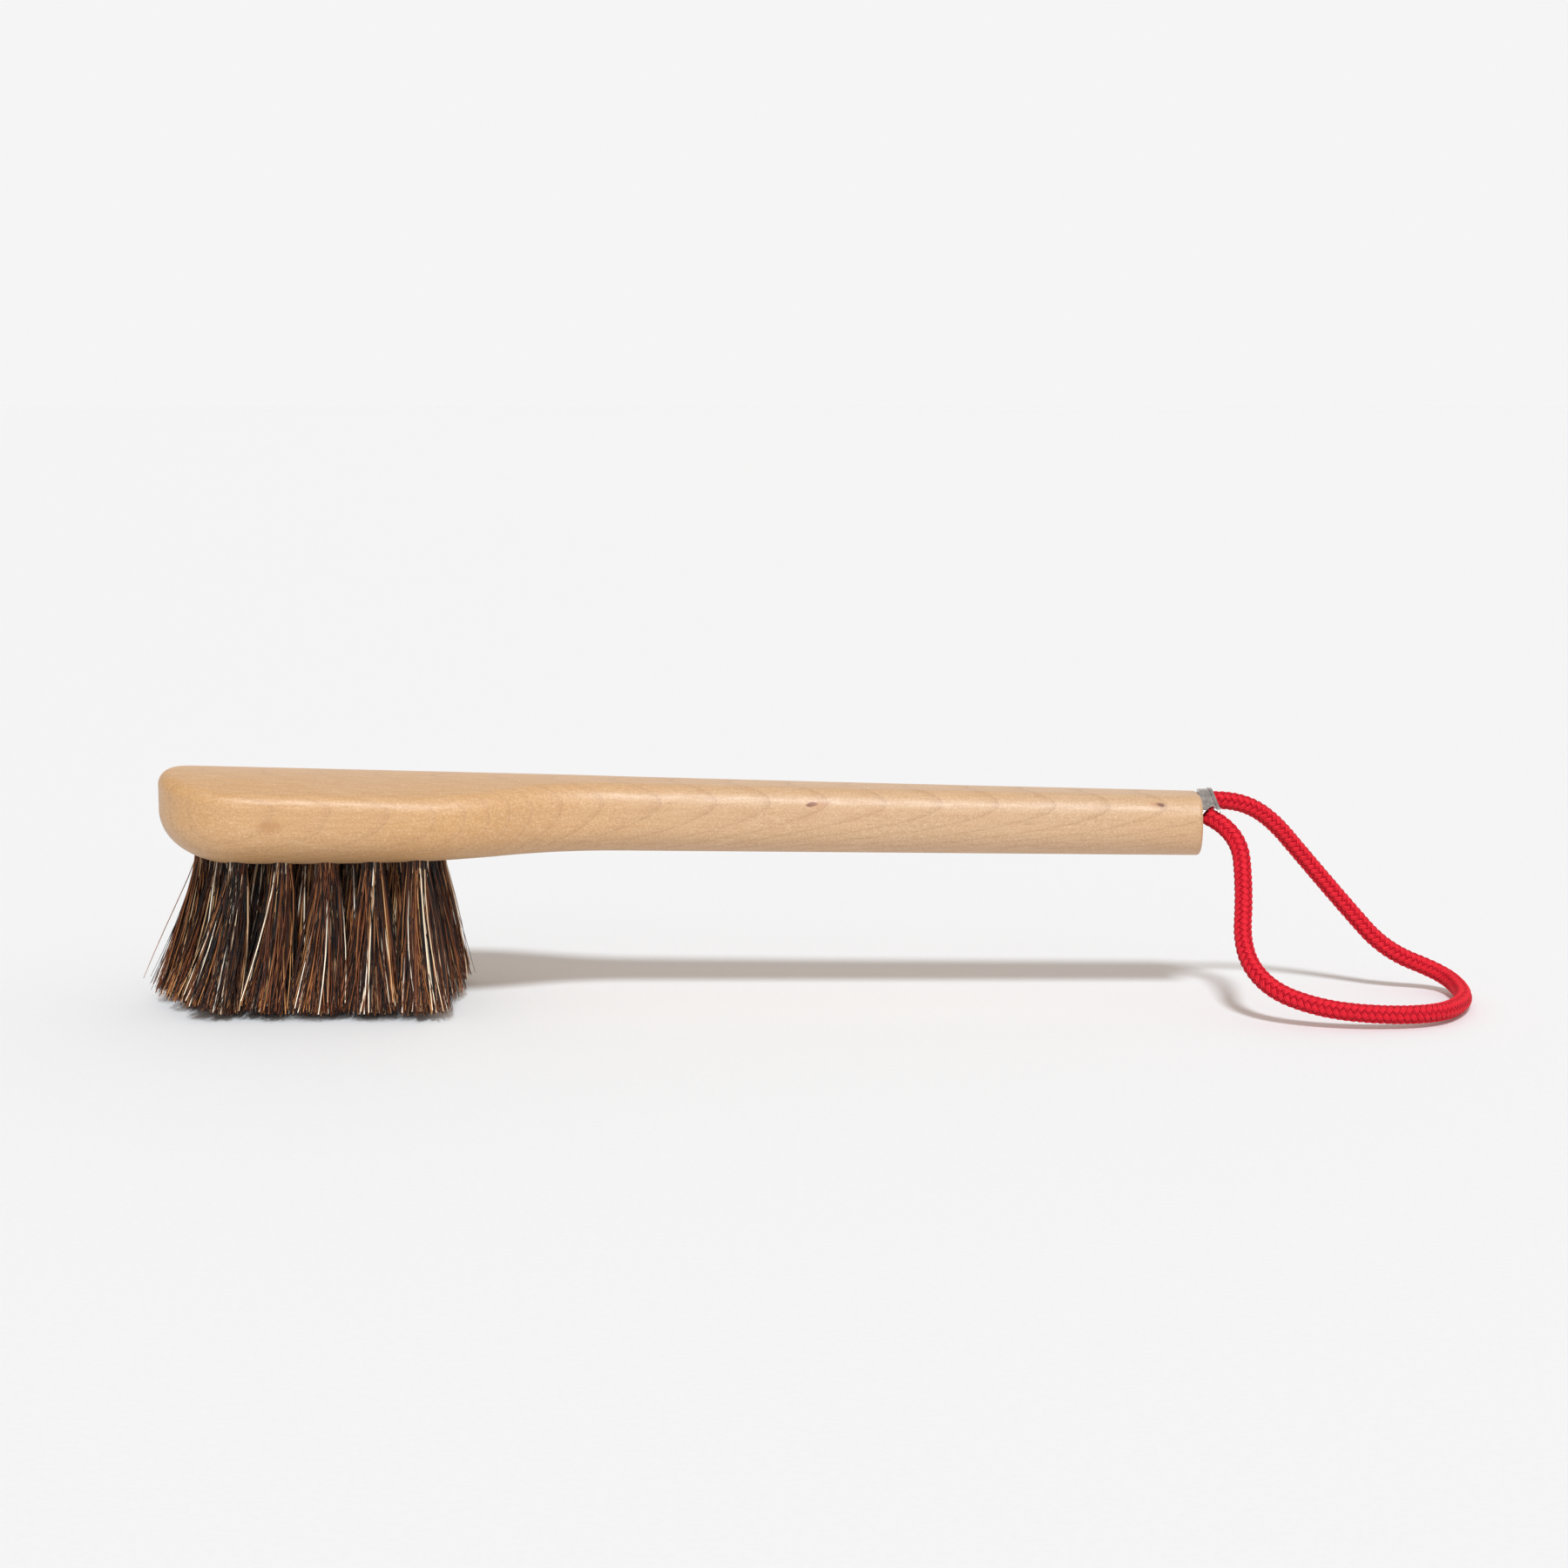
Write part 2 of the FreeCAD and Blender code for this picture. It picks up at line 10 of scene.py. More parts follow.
# %% Load the solid model
import math
import bpy
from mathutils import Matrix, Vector


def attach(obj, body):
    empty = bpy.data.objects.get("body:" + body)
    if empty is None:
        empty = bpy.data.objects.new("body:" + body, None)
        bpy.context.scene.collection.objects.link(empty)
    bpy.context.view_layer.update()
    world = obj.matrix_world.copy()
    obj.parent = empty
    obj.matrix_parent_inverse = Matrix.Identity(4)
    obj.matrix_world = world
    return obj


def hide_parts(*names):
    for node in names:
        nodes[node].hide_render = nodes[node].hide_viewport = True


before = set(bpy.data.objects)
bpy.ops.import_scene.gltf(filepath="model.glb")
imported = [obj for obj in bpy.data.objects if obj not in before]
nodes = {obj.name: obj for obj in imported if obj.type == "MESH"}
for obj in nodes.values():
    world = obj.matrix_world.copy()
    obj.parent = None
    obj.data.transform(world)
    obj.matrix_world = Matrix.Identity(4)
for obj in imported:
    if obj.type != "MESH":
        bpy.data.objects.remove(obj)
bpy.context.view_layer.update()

# %% [markdown]
# Node trees are easier to read when a node is made, set and joined up in one line. The first
# helper adds a node to any tree: a socket that is handed another node's output is linked to
# it, and a socket that is handed a number, a vector or a name is set to it. The other two
# are shorthands for the nodes that do sums.

# %% Helpers for node trees
MM = 0.001


def add(tree, kind, sockets=None, **settings):
    """Adds a node of this kind, gives it its settings, and fills its sockets by name or place."""
    node = tree.nodes.new(kind)
    for name, value in settings.items():
        setattr(node, name, value)
    for key, value in (sockets or {}).items():
        socket = node.inputs[key]
        if isinstance(value, bpy.types.NodeSocket):
            tree.links.new(value, socket)
        else:
            socket.default_value = value
    return node


def sum_of(tree, operation, *terms, clamp=False):
    """One Math node on one to three terms."""
    node = add(tree, "ShaderNodeMath", dict(enumerate(terms)), operation=operation, use_clamp=clamp)
    return node.outputs[0]


def vector_of(tree, operation, *terms):
    """One Vector Math node on vectors; SCALE takes its number from the Scale socket."""
    if operation == "SCALE":
        node = add(tree, "ShaderNodeVectorMath", {0: terms[0], "Scale": terms[1]}, operation=operation)
    else:
        node = add(tree, "ShaderNodeVectorMath", dict(enumerate(terms)), operation=operation)
    return node.outputs["Value" if operation in ("LENGTH", "DISTANCE", "DOT_PRODUCT") else "Vector"]


def new_tree(name, kind, inputs, outputs):
    """A node group with named sockets; each is (name, socket type, value to start from)."""
    tree = bpy.data.node_groups.new(name, kind)
    for direction, sockets in (("INPUT", inputs), ("OUTPUT", outputs)):
        for socket_name, socket_type, value in sockets:
            made = tree.interface.new_socket(socket_name, in_out=direction, socket_type=socket_type)
            if value is not None:
                made.default_value = value
    return tree, tree.nodes.new("NodeGroupInput").outputs, tree.nodes.new("NodeGroupOutput")


def object_place(tree):
    """The place of each point of the surface, in metres in the object's own frame."""
    return add(tree, "ShaderNodeTexCoord").outputs["Object"]


def run_tree(obj, tree, values):
    """Runs a geometry tree on an object and keeps the result as its plain mesh."""
    modifier = obj.modifiers.new(tree.name, "NODES")
    modifier.node_group = tree
    by_name = {s.name: s.identifier for s in tree.interface.items_tree if s.in_out == "INPUT"}
    for name, value in values.items():
        modifier[by_name[name]] = value
    graph = bpy.context.evaluated_depsgraph_get()
    graph.update()
    mesh = bpy.data.meshes.new_from_object(obj.evaluated_get(graph), depsgraph=graph)
    name = obj.name
    bpy.data.objects.remove(obj)
    made = bpy.data.objects.new(name, mesh)
    bpy.context.scene.collection.objects.link(made)
    mesh.validate()
    print(made.name, "has", sum(len(p.vertices) - 2 for p in mesh.polygons), "triangles")
    return made


print("helpers ready")

# %% [markdown]
# The camera stands in front of the brush, a little above it, and looks down at it by a few
# degrees through a long lens, as a product is usually shown. The long lens keeps the straight
# top of the handle straight and shows only a sliver of the crowned back.

# %% Camera
LENS_MM, SENSOR_MM = 67.94, 36.0
CAMERA_PLACE = (0.0222, -0.650, 0.1343)
LOOKS_DOWN_DEGREES = 7.5
camera_data = bpy.data.cameras.new("Camera")
camera_data.sensor_width = SENSOR_MM
camera_data.lens = LENS_MM
camera = bpy.data.objects.new("Camera", camera_data)
camera.location = CAMERA_PLACE
camera.rotation_euler = (math.radians(90.0 - LOOKS_DOWN_DEGREES), 0.0, 0.0)
bpy.context.scene.collection.objects.link(camera)
bpy.context.scene.camera = camera
print("camera at", [round(v, 3) for v in camera.location])

# %% [markdown]
# ## The cord
#
# The hanging loop is one piece of braided cotton cord, 4 mm thick, soft but with a little
# spring in it. Both ends go into the nickel cup. From the cup the near strand drops straight
# down to the table and runs along it, the loop turns round on the table at its far end, and the
# other strand climbs back up to the cup in one long slope. A NURBS spline with a few route
# points as its control points gives a smooth line that cuts inside the corners, as a cord under
# its own weight does.

# %% Route of the cord
CORD_ROUTE = [
    (115.7, -1.7, 41.9),
    (122.5, -4.4, 38.9),
    (122.9, -11.5, 27.0),
    (121.2, -19.5, 14.8),
    (126.0, -26.3, 7.8),
    (136.5, -30.4, 4.4),
    (149.0, -31.6, 3.2),
    (162.0, -28.8, 2.9),
    (170.0, -16.5, 2.4),
    (174.0, -1.0, 2.02),
    (171.8, 11.0, 4.0),
    (158.6, 11.0, 9.2),
    (149.4, 10.8, 19.4),
    (139.8, 9.2, 30.4),
    (130.2, 5.0, 41.4),
    (121.5, 2.3, 45.2),
    (115.7, 1.7, 44.8),
]

route = bpy.data.curves.new("cord_route", "CURVE")
route.dimensions = "3D"
route.resolution_u = 24
spline = route.splines.new("NURBS")
spline.points.add(len(CORD_ROUTE) - 1)
for point, (x, y, z) in zip(spline.points, CORD_ROUTE):
    point.co = (x * MM, y * MM, z * MM, 1.0)
spline.order_u = 3
spline.use_endpoint_u = True
route_object = bpy.data.objects.new("cord_route", route)
bpy.context.scene.collection.objects.link(route_object)
graph = bpy.context.evaluated_depsgraph_get()
centreline = bpy.data.meshes.new_from_object(route_object.evaluated_get(graph), depsgraph=graph)
bpy.data.objects.remove(route_object)

# %% [markdown]
# A round braid of twelve strands has six that wind one way and six that wind the other.
# Each passes over two strands and then under two, and each starts one strand later than its
# neighbour, which lines the floats up in columns of small Vs along the cord. That is a rule,
# so Geometry Nodes can follow it: the centreline is copied once for each strand, every copy is
# wound round it on a helix, and its distance from the centre swells where the strand
# is on top and shrinks where it dives under. Each strand is then given a flat oval section.
# A plain core fills the middle, so that no light shows through.

# %% Braiding tree
FLATTENING = 0.35      # smaller makes a strand stay longer on top and longer below
YARNS = 3              # yarns that lie side by side in a strand
YARN_RELIEF = 0.24     # depth of the grooves between them, as a share of the strand's thickness
CORE_STEPS, CORE_SIDES = 160, 12

braid, given, result = new_tree(
    "Braid a cord", "GeometryNodeTree",
    [("Centreline", "NodeSocketGeometry", None), ("Strands each way", "NodeSocketInt", 6),
     ("Pitch", "NodeSocketFloat", 8.8 * MM), ("Middle radius", "NodeSocketFloat", 1.5 * MM),
     ("Rise", "NodeSocketFloat", 0.25 * MM), ("Strand half width", "NodeSocketFloat", 0.60 * MM),
     ("Strand half thickness", "NodeSocketFloat", 0.33 * MM), ("Core radius", "NodeSocketFloat", 1.3 * MM),
     ("Steps", "NodeSocketInt", 440), ("Sides", "NodeSocketInt", 16), ("Finish", "NodeSocketMaterial", None)],
    [("Braid", "NodeSocketGeometry", None)])

line = add(braid, "GeometryNodeMeshToCurve", {"Mesh": given["Centreline"]}).outputs["Curve"]
even = add(braid, "GeometryNodeResampleCurve", {"Curve": line, "Count": given["Steps"]}).outputs["Curve"]
both_ways = sum_of(braid, "MULTIPLY", given["Strands each way"], 2.0)
copies = add(braid, "GeometryNodeDuplicateElements", {"Geometry": even, "Amount": both_ways}, domain="SPLINE")
number = copies.outputs["Duplicate Index"]
backward = sum_of(braid, "GREATER_THAN", number, sum_of(braid, "SUBTRACT", given["Strands each way"], 0.5))
way = sum_of(braid, "SUBTRACT", 1.0, sum_of(braid, "MULTIPLY", backward, 2.0))
place = sum_of(braid, "MODULO", number, given["Strands each way"])
along = add(braid, "GeometryNodeSplineParameter").outputs["Length"]
turns = sum_of(braid, "MULTIPLY", sum_of(braid, "DIVIDE", along, given["Pitch"]), way)
angle = sum_of(braid, "MULTIPLY",
               sum_of(braid, "ADD", turns, sum_of(braid, "DIVIDE", place, given["Strands each way"])),
               2.0 * math.pi)
normal = add(braid, "GeometryNodeInputNormal").outputs["Normal"]
tangent = add(braid, "GeometryNodeInputTangent").outputs["Tangent"]
across = vector_of(braid, "CROSS_PRODUCT", tangent, normal)
outward = vector_of(braid, "ADD",
                    vector_of(braid, "SCALE", normal, sum_of(braid, "COSINE", angle)),
                    vector_of(braid, "SCALE", across, sum_of(braid, "SINE", angle)))

# Crossings are counted along the strand: over at 0 and 1, under at 2 and 3.
crossing = sum_of(braid, "ADD", sum_of(braid, "MULTIPLY", turns, both_ways),
                  sum_of(braid, "MULTIPLY_ADD", place, 2.0, -0.5))
wave = sum_of(braid, "COSINE", sum_of(braid, "MULTIPLY", crossing, math.pi / 2.0))
flat_wave = sum_of(braid, "DIVIDE", wave,
                   sum_of(braid, "SQRT", sum_of(braid, "MULTIPLY_ADD", wave, wave, FLATTENING)))
distance = sum_of(braid, "MULTIPLY_ADD", sum_of(braid, "MULTIPLY", flat_wave, way), given["Rise"],
                  given["Middle radius"])

wound = copies.outputs["Geometry"]
for name, kind, value in (("outward", "FLOAT_VECTOR", outward), ("along", "FLOAT", along),
                          ("height", "FLOAT", sum_of(braid, "MULTIPLY", flat_wave, way)),
                          ("strand", "FLOAT", number)):
    wound = add(braid, "GeometryNodeStoreNamedAttribute",
                {"Geometry": wound, "Name": name, "Value": value}, data_type=kind, domain="POINT").outputs[0]
stored_outward = add(braid, "GeometryNodeInputNamedAttribute", {"Name": "outward"},
                     data_type="FLOAT_VECTOR").outputs["Attribute"]
wound = add(braid, "GeometryNodeSetPosition",
            {"Geometry": wound, "Offset": vector_of(braid, "SCALE", stored_outward, distance)}).outputs[0]
wound = add(braid, "GeometryNodeSetCurveNormal", {"Curve": wound, "Normal": stored_outward},
            mode="FREE").outputs["Curve"]

oval = add(braid, "GeometryNodeCurvePrimitiveCircle",
           {"Resolution": given["Sides"], "Radius": 1.0}).outputs["Curve"]
at = add(braid, "ShaderNodeSeparateXYZ", {0: add(braid, "GeometryNodeInputPosition").outputs[0]}).outputs
oval = add(braid, "GeometryNodeStoreNamedAttribute", {"Geometry": oval, "Name": "across", "Value": at["Y"]},
           data_type="FLOAT", domain="POINT").outputs[0]
# Ridges across the oval stand for the yarns that lie side by side in a strand.
ridges = sum_of(braid, "ABSOLUTE", sum_of(
    braid, "COSINE", sum_of(braid, "MULTIPLY", at["Y"], 0.5 * YARNS * math.pi)))
thick = sum_of(braid, "MULTIPLY", given["Strand half thickness"],
               sum_of(braid, "MULTIPLY_ADD", ridges, YARN_RELIEF, 1.0 - YARN_RELIEF))
oval = add(braid, "GeometryNodeSetPosition", {"Geometry": oval, "Position": add(
    braid, "ShaderNodeCombineXYZ", {"X": sum_of(braid, "MULTIPLY", at["X"], thick),
                                    "Y": sum_of(braid, "MULTIPLY", at["Y"], given["Strand half width"])}
).outputs[0]}).outputs[0]
strands = add(braid, "GeometryNodeCurveToMesh",
              {"Curve": wound, "Profile Curve": oval, "Fill Caps": True}).outputs["Mesh"]

core_line = add(braid, "GeometryNodeResampleCurve", {"Curve": line, "Count": CORE_STEPS}).outputs["Curve"]
core_round = add(braid, "GeometryNodeCurvePrimitiveCircle",
                 {"Resolution": CORE_SIDES, "Radius": given["Core radius"]}).outputs["Curve"]
core = add(braid, "GeometryNodeCurveToMesh",
           {"Curve": core_line, "Profile Curve": core_round, "Fill Caps": True}).outputs["Mesh"]
# The core gets the lowest height, so the red colour paints it darkest: painted shade.
core = add(braid, "GeometryNodeStoreNamedAttribute", {"Geometry": core, "Name": "height", "Value": -1.0},
           data_type="FLOAT", domain="POINT").outputs[0]

joined = add(braid, "GeometryNodeJoinGeometry")
braid.links.new(core, joined.inputs[0])
braid.links.new(strands, joined.inputs[0])
smooth = add(braid, "GeometryNodeSetShadeSmooth",
             {"Geometry": joined.outputs[0], "Shade Smooth": True}).outputs[0]
real = add(braid, "GeometryNodeRealizeInstances", {"Geometry": smooth}).outputs[0]
finished = add(braid, "GeometryNodeSetMaterial", {"Geometry": real, "Material": given["Finish"]}).outputs[0]
braid.links.new(finished, result.inputs["Braid"])
print("braiding tree has", len(braid.nodes), "nodes")

# %% [markdown]
# The cord is dyed cotton: a clear, deep red with hardly any sheen. Its colour carries painted
# shade, almost black in the valleys where one strand dives under another and on the core, and a
# painted highlight along the middle of each yarn. Every strand is a flat bundle of three yarns,
# and each yarn is itself twisted, so fine slanting lines run over the strands where they lie on
# top. The strand's own measures, stored by the tree as attributes, place the painted shade, the
# painted highlight and those lines, so that they follow the braid round every bend.

# %% Red cotton finish
def new_material(name, **fixed):
    """A material with a Principled shader; the values given are the same all over the surface."""
    material = bpy.data.materials.new(name)
    material.use_nodes = True
    tree = material.node_tree
    tree.nodes.clear()
    shader = add(tree, "ShaderNodeBsdfPrincipled", {k.replace("_", " "): v for k, v in fixed.items()})
    add(tree, "ShaderNodeOutputMaterial", {"Surface": shader.outputs[0]})
    return material, tree, shader.inputs


def ramp(tree, value, *stops, interpolation="LINEAR"):
    """A colour ramp; each stop is (place, colour)."""
    node = add(tree, "ShaderNodeValToRGB", {"Fac": value})
    node.color_ramp.interpolation = interpolation
    elements = node.color_ramp.elements
    elements[0].position, elements[0].color = stops[0][0], (*stops[0][1], 1.0)
    elements[1].position, elements[1].color = stops[-1][0], (*stops[-1][1], 1.0)
    for position, colour in stops[1:-1]:
        elements.new(position).color = (*colour, 1.0)
    return node.outputs["Color"]


def attribute(tree, name):
    """The value that a mesh carries under this name."""
    return add(tree, "ShaderNodeAttribute", attribute_name=name).outputs["Fac"]


def between(tree, factor, first, second, blend="MIX"):
    """Mixes two colours."""
    node = add(tree, "ShaderNodeMix", {0: factor, 6: first, 7: second}, data_type="RGBA", blend_type=blend)
    return node.outputs[2]


TWIST_PITCH = 0.42 * MM
TWIST_SLANT = 9.0      # how far the twist's lines lean across a strand, in radians of the wave

cotton, tree, cotton_sockets = new_material(
    "Red cotton braid", Roughness=0.62, Sheen_Weight=0.01, Sheen_Roughness=0.4, Specular_IOR_Level=0.14)
side = attribute(tree, "across")
run = attribute(tree, "along")
level = attribute(tree, "height")
yarns = sum_of(tree, "ABSOLUTE", sum_of(
    tree, "COSINE", sum_of(tree, "MULTIPLY", side, 0.5 * YARNS * math.pi)))
twist = sum_of(tree, "SINE", sum_of(tree, "MULTIPLY_ADD", run, 2.0 * math.pi / TWIST_PITCH,
                                    sum_of(tree, "MULTIPLY", side, TWIST_SLANT)))
fibres = add(tree, "ShaderNodeTexNoise", {
    "Vector": object_place(tree), "Scale": 2600.0, "Detail": 3.0}).outputs[0]
# Painted shade and highlight: a strand's height darkens the valleys and the core, and the middle of each yarn
# is lighter. The fibre noise is the cotton's own uneven tone.
painted_shade_and_highlight = sum_of(tree, "ADD", sum_of(tree, "MULTIPLY_ADD", level, 0.26, 0.40),
               sum_of(tree, "MULTIPLY_ADD", yarns, 0.24, sum_of(tree, "MULTIPLY", fibres, 0.30)))
red = ramp(tree, painted_shade_and_highlight, (0.30, (0.015, 0.0002, 0.001)), (0.56, (0.18, 0.0008, 0.006)),
           (0.80, (0.46, 0.0022, 0.014)), (1.0, (0.86, 0.022, 0.040)))
tree.links.new(red, cotton_sockets["Base Color"])
relief = sum_of(tree, "ADD", sum_of(tree, "MULTIPLY", yarns, 0.7),
                sum_of(tree, "MULTIPLY_ADD", twist, 0.18, sum_of(tree, "MULTIPLY", fibres, 0.5)))
tree.links.new(add(tree, "ShaderNodeBump", {"Strength": 0.7, "Distance": 0.12 * MM, "Height": relief}
                   ).outputs[0], cotton_sockets["Normal"])
print("red cotton ready")

# %% Braid the cord
cord = bpy.data.objects.new("hanging_cord", centreline)
bpy.context.scene.collection.objects.link(cord)
cord = run_tree(cord, braid, {"Finish": cotton})
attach(cord, "root")
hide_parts("cord_loop")
print("cord made")

# %% [markdown]
# ## The metal parts
#
# The cup is pressed from thin sheet and plated with bright nickel. Pressing leaves it slightly
# wavy, so its reflections wander, and handling makes it a little rougher in patches. Its colour
# is painted reflection: patches of near-white and of very dark colour stand in for the bright and
# dark surroundings that the nickel mirrors. The nail is plain bright steel, and the small staples
# that hold the tufts are drawn wire; on them the duller patches are handling wear. Their shapes
# are right in the solid model, so they only need a finish. One group of nodes makes the look of
# all three: patches of darker, slightly rougher metal, which are painted reflection on the cup and
# wear on the others, and soft waves in the surface.

# %% Metal wear and painted reflection
wear_and_reflection_metal, given, result = new_tree(
    "Metal wear and painted reflection", "ShaderNodeTree",
    [("Scale", "NodeSocketFloat", 300.0), ("Bright colour", "NodeSocketColor", (0.8, 0.8, 0.8, 1.0)),
     ("Wear and dark reflection colour", "NodeSocketColor", (0.6, 0.6, 0.6, 1.0)), ("Smooth", "NodeSocketFloat", 0.12),
     ("Rough", "NodeSocketFloat", 0.35), ("Wave", "NodeSocketFloat", 0.4)],
    [("Color", "NodeSocketColor", None), ("Roughness", "NodeSocketFloat", None),
     ("Normal", "NodeSocketVector", None)])
here = object_place(wear_and_reflection_metal)
wear_and_reflection_patches = add(wear_and_reflection_metal, "ShaderNodeTexNoise", {
    "Vector": here, "Scale": given["Scale"], "Detail": 4.0}).outputs[0]
waves = add(wear_and_reflection_metal, "ShaderNodeTexNoise", {
    "Vector": here, "Scale": sum_of(wear_and_reflection_metal, "MULTIPLY", given["Scale"], 1.6), "Detail": 1.0}).outputs[0]
colour = between(wear_and_reflection_metal, wear_and_reflection_patches, given["Wear and dark reflection colour"], given["Bright colour"])
roughness = add(wear_and_reflection_metal, "ShaderNodeMapRange", {
    "Value": wear_and_reflection_patches, "From Min": 0.35, "From Max": 0.7,
    "To Min": given["Rough"], "To Max": given["Smooth"]}).outputs[0]
bent = add(wear_and_reflection_metal, "ShaderNodeBump", {
    "Strength": given["Wave"], "Distance": 0.3 * MM, "Height": waves}).outputs[0]
wear_and_reflection_metal.links.new(colour, result.inputs["Color"])
wear_and_reflection_metal.links.new(roughness, result.inputs["Roughness"])
wear_and_reflection_metal.links.new(bent, result.inputs["Normal"])


def metal(name, scale, bright, wear_and_dark_reflection, smooth_value, rough_value, wave):
    """A bare metal with darker, rougher patches: wear on the nail and staples, painted reflection on the cup.
    """
    material, tree, sockets = new_material(name, Metallic=1.0)
    group = add(tree, "ShaderNodeGroup", node_tree=wear_and_reflection_metal)
    values = (scale, (*bright, 1.0), (*wear_and_dark_reflection, 1.0), smooth_value, rough_value, wave)
    for socket, value in zip(group.inputs, values):
        socket.default_value = value
    tree.links.new(group.outputs["Color"], sockets["Base Color"])
    tree.links.new(group.outputs["Roughness"], sockets["Roughness"])
    tree.links.new(group.outputs["Normal"], sockets["Normal"])
    return material


def finish(node, material):
    """Gives every material slot of a solid the same finish."""
    for slot in nodes[node].material_slots:
        slot.material = material


# The cup's near-white and very dark colours are painted reflection of the surroundings in the nickel.
finish("cord_cup", metal("Nickel plate", 560.0, (0.93, 0.93, 0.94), (0.22, 0.20, 0.18), 0.06, 0.24, 1.0))
finish("cup_nail", metal("Bright steel", 500.0, (0.62, 0.62, 0.63), (0.45, 0.45, 0.46), 0.20, 0.38, 0.2))
finish("tuft_anchors", metal("Drawn wire", 900.0, (0.60, 0.58, 0.55), (0.42, 0.40, 0.38), 0.25, 0.45, 0.2))
print("metal parts finished")

# %% [markdown]
# ## The wood
#
# The block is a pale, close-grained hardwood under clear satin lacquer. Three things make it
# read as wood rather than as a tan plastic. Growth rings run the length of the board and are
# cut across on a slant where the head sweeps in to the handle. Fine fibres and short pores run
# along the grain. A few small marks, a darker eye in the head, a dot in the neck and two reddish
# flecks in the handle, sit where the tree put them. Rings and fibres are solid patterns: they
# fill the whole block, and the surface shows them wherever it happens to cut them.

# %% Wood patterns
RAGGEDNESS = 0.8           # how far a mark's edge wanders, as a share of its half size
FALL_POWER = 2.3           # how sharply a ring turns down on the sides
HOOK_AT_HEAD, HOOK_AT_TAIL = 0.03, 0.15     # how far the rings run back along the sides
HOOK_FROM_X, HOOK_TO_X = -45.0, 30.0        # in millimetres
LATE_WOOD_POWER = 9.0      # larger makes the dark line of each ring thinner

mark, given, result = new_tree(
    "Small mark", "ShaderNodeTree",
    [("Centre", "NodeSocketVector", None), ("Half size", "NodeSocketVector", None),
     ("Lean", "NodeSocketFloat", 0.0), ("Softness", "NodeSocketFloat", 0.5)],
    [("Mask", "NodeSocketFloat", None)])
here = object_place(mark)
ragged = add(mark, "ShaderNodeTexNoise", {"Vector": here, "Scale": 700.0, "Detail": 3.0}).outputs[0]
offset = add(mark, "ShaderNodeVectorRotate", {
    "Vector": vector_of(mark, "SUBTRACT", here, given["Centre"]), "Angle": given["Lean"]},
    rotation_type="Y_AXIS").outputs[0]
reach = vector_of(mark, "LENGTH", vector_of(mark, "DIVIDE", offset, given["Half size"]))
reach = sum_of(mark, "ADD", reach, sum_of(
    mark, "MULTIPLY", sum_of(mark, "SUBTRACT", ragged, 0.5), RAGGEDNESS))
mask = add(mark, "ShaderNodeMapRange", {
    "Value": reach, "From Min": 1.0, "From Max": sum_of(mark, "SUBTRACT", 1.0, given["Softness"]),
    "To Min": 0.0, "To Max": 1.0}, interpolation_type="SMOOTHSTEP").outputs[0]
mark.links.new(mask, result.inputs["Mask"])

grain, given, result = new_tree(
    "Lengthwise grain", "ShaderNodeTree",
    [("Ring width", "NodeSocketFloat", 13.0), ("Arch", "NodeSocketFloat", 0.12),
     ("Top height", "NodeSocketFloat", 48.0), ("Wander", "NodeSocketFloat", 5.0)],
    [("Rings", "NodeSocketFloat", None), ("Fibres", "NodeSocketFloat", None),
     ("Pores", "NodeSocketFloat", None), ("Cloud", "NodeSocketFloat", None),
     ("Speckle", "NodeSocketFloat", None)])
here = object_place(grain)


def stretched_noise(scale_x, scale_yz, detail):
    """Noise drawn out along the grain; the scales are features in a metre."""
    place = vector_of(grain, "MULTIPLY", here, (scale_x, scale_yz, scale_yz))
    return add(grain, "ShaderNodeTexNoise", {"Vector": place, "Scale": 1.0, "Detail": detail}).outputs[0]


# The rings are measured in millimetres. They arch across the back of the brush, and run down
# the sides in long hooks that lie down towards the nose.
at = add(grain, "ShaderNodeSeparateXYZ", {0: vector_of(grain, "SCALE", here, 1000.0)}).outputs
depth = sum_of(grain, "MAXIMUM", sum_of(grain, "SUBTRACT", given["Top height"], at["Z"]), 0.0)
hook = add(grain, "ShaderNodeMapRange", {
    "Value": at["X"], "From Min": HOOK_FROM_X, "From Max": HOOK_TO_X,
    "To Min": HOOK_AT_HEAD, "To Max": HOOK_AT_TAIL}).outputs[0]
ring = sum_of(grain, "MULTIPLY_ADD", sum_of(grain, "POWER", depth, FALL_POWER), hook, at["X"])
arch = sum_of(grain, "MULTIPLY", sum_of(grain, "MULTIPLY", at["Y"], at["Y"]), given["Arch"])
ring = sum_of(grain, "SUBTRACT", ring, arch)
ring = sum_of(grain, "MULTIPLY_ADD", stretched_noise(28.0, 60.0, 2.0), given["Wander"], ring)
year = sum_of(grain, "FRACT", sum_of(grain, "DIVIDE", ring, given["Ring width"]))
late = sum_of(grain, "POWER", year, LATE_WOOD_POWER)
fibres = stretched_noise(170.0, 1700.0, 4.0)
pores = add(grain, "ShaderNodeMapRange", {
    "Value": stretched_noise(480.0, 2600.0, 2.0), "From Min": 0.62, "From Max": 0.74}).outputs[0]
cloud = stretched_noise(16.0, 45.0, 3.0)
speckle = stretched_noise(2400.0, 3000.0, 2.0)
for name, value in (("Rings", late), ("Fibres", fibres), ("Pores", pores), ("Cloud", cloud),
                    ("Speckle", speckle)):
    grain.links.new(value, result.inputs[name])
print("wood patterns ready")

# %% [markdown]
# The colour starts from a pale straw, drifts towards honey in slow clouds and towards the head,
# and is then darkened a little by rings, fibres and pores. The lacquer is a clear coat
# over the wood, so the wood below can stay fairly rough while the coat gives the soft
# highlight along the rounded edges. The coat is thin, so the fibres still show in it as a
# very shallow relief.

